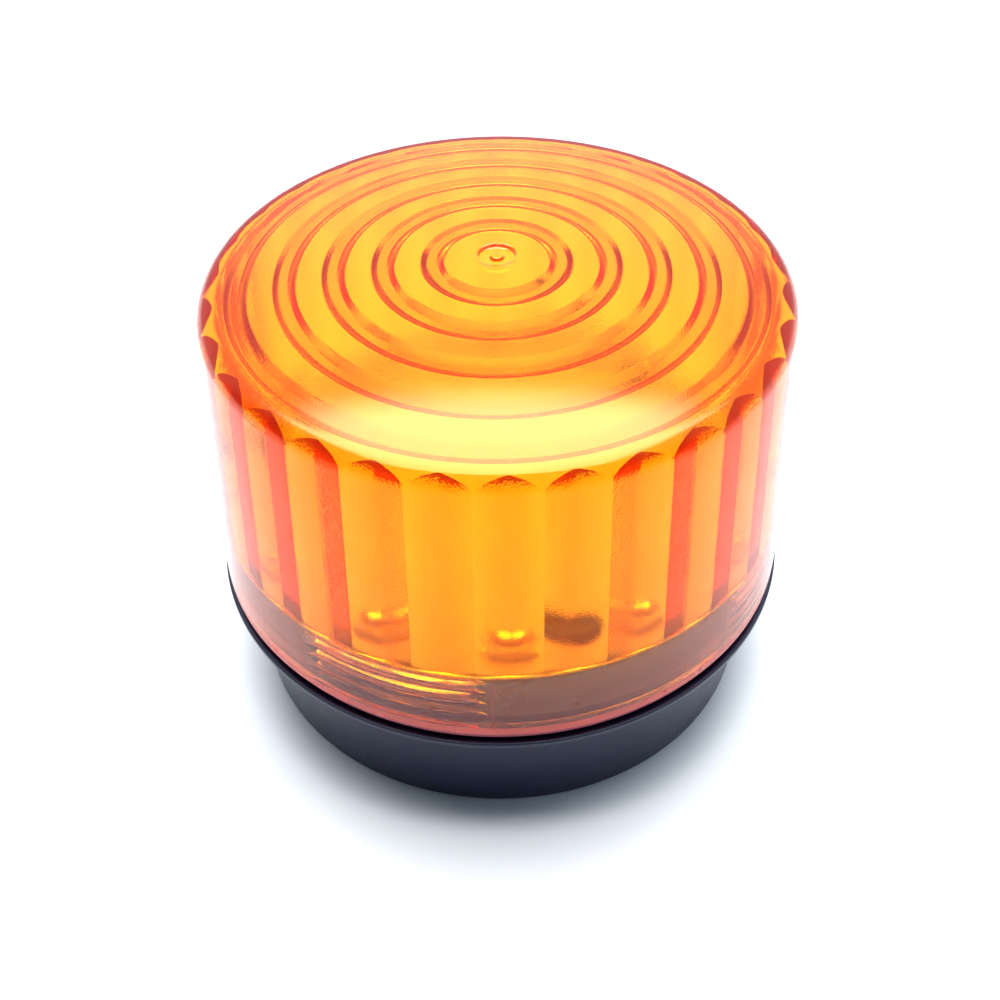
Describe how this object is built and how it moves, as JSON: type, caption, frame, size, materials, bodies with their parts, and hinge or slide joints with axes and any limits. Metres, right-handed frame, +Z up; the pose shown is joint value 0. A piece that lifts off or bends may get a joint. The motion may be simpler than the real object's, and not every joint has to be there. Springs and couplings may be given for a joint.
{
  "type": "round amber warning light",
  "caption": "Round amber flashing warning light: a prismatic screw-on lens over an LED board in a tapered black base, with terminals and driver board inside.",
  "frame": {"origin": "centre of the base's underside, on the surface it stands on", "axes": "+Z up along the light's axis; the terminal block and cable inlet are on the +Y side, so -Y is the front"},
  "size_m": [0.1, 0.1, 0.0813],
  "materials": {
    "amber_lens": "clear glossy moulded amber",
    "base_black": "satin black moulded",
    "rubber": "matt black",
    "board_white": "white solder mask",
    "board_green": "green solder mask",
    "led_body": "clear silicone dome on white package",
    "black_steel": "black-plated steel",
    "zinc_steel": "zinc-plated steel",
    "epoxy_black": "moulded black epoxy",
    "sleeve_blue": "plain plastic sleeve",
    "ferrite": "sintered ferrite",
    "copper_wire": "enamelled copper winding",
    "resistor_tan": "lacquered",
    "ceramic_orange": "dipped ceramic",
    "terminal_green": "moulded",
    "brass": "bright",
    "lead_red": "insulated wire",
    "lead_black": "insulated wire"
  },
  "bodies": {
    "base": {"base_housing": "base_black", "cable_grommet": "rubber", "driver_board": "board_green", "led_board": "board_white", "reservoir_capacitor": "sleeve_blue", "choke_core": "ferrite", "choke_winding": "copper_wire", "flasher_chip": "epoxy_black", "power_transistor": "epoxy_black", "rectifier_diode": "epoxy_black", "led_resistor_1": "resistor_tan", "led_resistor_2": "resistor_tan", "timing_capacitor": "ceramic_orange", "terminal_block": "terminal_green", "link_lead_red": "lead_red", "link_lead_black": "lead_black", "driver_board_screw_1": "zinc_steel", "led_board_screw_1": "black_steel", "driver_board_screw_2": "zinc_steel", "led_board_screw_2": "black_steel", "driver_board_screw_3": "zinc_steel", "led_board_screw_3": "black_steel", "led_1": "led_body", "led_2": "led_body", "led_3": "led_body", "led_4": "led_body", "led_5": "led_body", "led_6": "led_body", "led_7": "led_body", "led_8": "led_body", "led_9": "led_body", "led_10": "led_body", "led_11": "led_body", "led_12": "led_body"},
    "seal": {"seal_ring": "rubber"},
    "lens": {"lens": "amber_lens"},
    "screw_left": {"terminal_screw_left": "zinc_steel"},
    "screw_right": {"terminal_screw_right": "zinc_steel"},
    "cage_left": {"terminal_cage_left": "brass"},
    "cage_right": {"terminal_cage_right": "brass"}
  },
  "joints": [
    {"name": "lens_rise", "type": "slide", "parent": "base", "child": "seal", "axis": [0, 0, 1], "range_m": [0, 0.0125]},
    {"name": "lens_turn", "type": "hinge", "parent": "seal", "child": "lens", "pos_m": [0, 0, 0.024], "axis": [0, 0, 1], "range_deg": [0, 1800]},
    {"name": "screw_left_turn", "type": "hinge", "parent": "base", "child": "screw_left", "pos_m": [-0.00254, 0.022, 0.0186], "axis": [0, 0, 1], "range_deg": [0, 1440]},
    {"name": "cage_left_drop", "type": "slide", "parent": "base", "child": "cage_left", "axis": [0, 0, 1], "range_m": [-0.0016, 0]},
    {"name": "screw_right_turn", "type": "hinge", "parent": "base", "child": "screw_right", "pos_m": [0.00254, 0.022, 0.0186], "axis": [0, 0, 1], "range_deg": [0, 1440]},
    {"name": "cage_right_drop", "type": "slide", "parent": "base", "child": "cage_right", "axis": [0, 0, 1], "range_m": [-0.0016, 0]}
  ],
  "couplings": [
    {"joint": "lens_rise", "follows": "lens_turn", "m_per_rad": 0.00039789},
    {"joint": "screw_left_turn", "follows": "cage_left_drop", "rad_per_m": -15708},
    {"joint": "screw_right_turn", "follows": "cage_right_drop", "rad_per_m": -15708}
  ]
}
